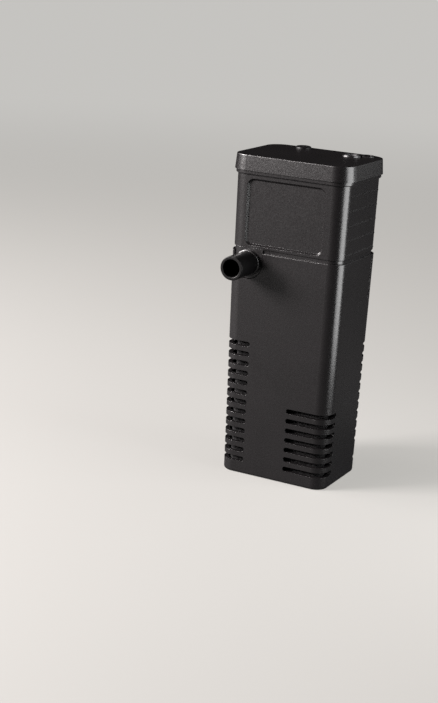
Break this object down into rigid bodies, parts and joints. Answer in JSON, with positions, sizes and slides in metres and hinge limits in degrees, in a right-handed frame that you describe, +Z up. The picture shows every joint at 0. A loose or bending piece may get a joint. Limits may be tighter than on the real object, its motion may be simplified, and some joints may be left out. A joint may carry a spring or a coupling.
{
  "type": "internal power filter",
  "caption": "Slim submersible aquarium filter: slotted canister with sponge, lift-off pump head with straight outlet tube, and suction cups on the back.",
  "frame": {"origin": "centre of the canister's base face", "axes": "+Z up along the canister, the outlet tube points along -Y, the suction cups are on the +Y side, +X to the right as seen from the outlet side"},
  "size_m": [0.051, 0.0594, 0.1309],
  "materials": {
    "casing_plastic": "satin black moulded plastic with a fine texture",
    "trim_plastic": "black moulded plastic",
    "inner_plastic": "natural off-white moulded plastic",
    "soft_rubber": "soft black rubber",
    "cup_rubber": "glossy soft black vinyl",
    "foam": "open-cell dark grey foam",
    "core_steel": "laminated electrical steel",
    "coil_copper": "enamelled copper wire",
    "pin_metal": "tinned brass",
    "shaft_ceramic": "polished ceramic",
    "magnet_ferrite": "ground ferrite",
    "resin": "glossy black potting resin"
  },
  "bodies": {
    "canister_body": {"canister": "casing_plastic"},
    "head": {"head_housing": "casing_plastic", "top_lid": "casing_plastic", "air_tube": "inner_plastic", "cable_gland": "soft_rubber", "resin_fill_plug": "trim_plastic", "stator_core": "core_steel", "front_bobbin": "inner_plastic", "rear_bobbin": "inner_plastic", "front_winding": "coil_copper", "rear_winding": "coil_copper", "terminal_pins": "pin_metal", "rotor_shaft": "shaft_ceramic", "upper_bush": "soft_rubber", "potting_resin": "resin"},
    "sponge": {"filter_sponge": "foam"},
    "knob": {"air_knob": "trim_plastic"},
    "nozzle": {"outlet_nozzle": "trim_plastic"},
    "cover": {"impeller_cover": "trim_plastic", "lower_bush": "soft_rubber", "intake_strainer": "trim_plastic"},
    "rotor": {"rotor_sleeve": "inner_plastic", "rotor_magnet": "magnet_ferrite"},
    "impeller_wheel": {"impeller": "inner_plastic"},
    "lower_cup": {"lower_suction_cup": "cup_rubber"},
    "upper_cup": {"upper_suction_cup": "cup_rubber"}
  },
  "joints": [
    {"name": "head_lift", "type": "slide", "parent": "canister_body", "child": "head", "axis": [0, 0, 1], "range_m": [0, 0.08]},
    {"name": "sponge_lift", "type": "slide", "parent": "canister_body", "child": "sponge", "axis": [0, 0, 1], "range_m": [0, 0.036]},
    {"name": "nozzle_pull", "type": "slide", "parent": "head", "child": "nozzle", "axis": [0, -1, 0], "range_m": [0, 0.009]},
    {"name": "knob_turn", "type": "hinge", "parent": "head", "child": "knob", "pos_m": [-0.01, 0.0149, 0.128], "axis": [0, 0, 1], "range_deg": [0, 180]},
    {"name": "cover_twist", "type": "hinge", "parent": "head", "child": "cover", "pos_m": [-0.00745, 0, 0.081], "axis": [0, 0, 1], "range_deg": [0, 28]},
    {"name": "rotor_spin", "type": "hinge", "parent": "head", "child": "rotor", "pos_m": [-0.00745, 0, 0.1], "axis": [0, 0, 1], "continuous": true},
    {"name": "impeller_play", "type": "hinge", "parent": "rotor", "child": "impeller_wheel", "pos_m": [-0.00745, 0, 0.088], "axis": [0, 0, 1], "range_deg": [-115, 115]},
    {"name": "lower_cup_pull", "type": "slide", "parent": "canister_body", "child": "lower_cup", "axis": [0, 1, 0], "range_m": [0, 0.007]},
    {"name": "upper_cup_pull", "type": "slide", "parent": "canister_body", "child": "upper_cup", "axis": [0, 1, 0], "range_m": [0, 0.007]}
  ],
  "couplings": [
    {"joint": "sponge_lift", "follows": "head_lift", "ratio": 0.45}
  ]
}
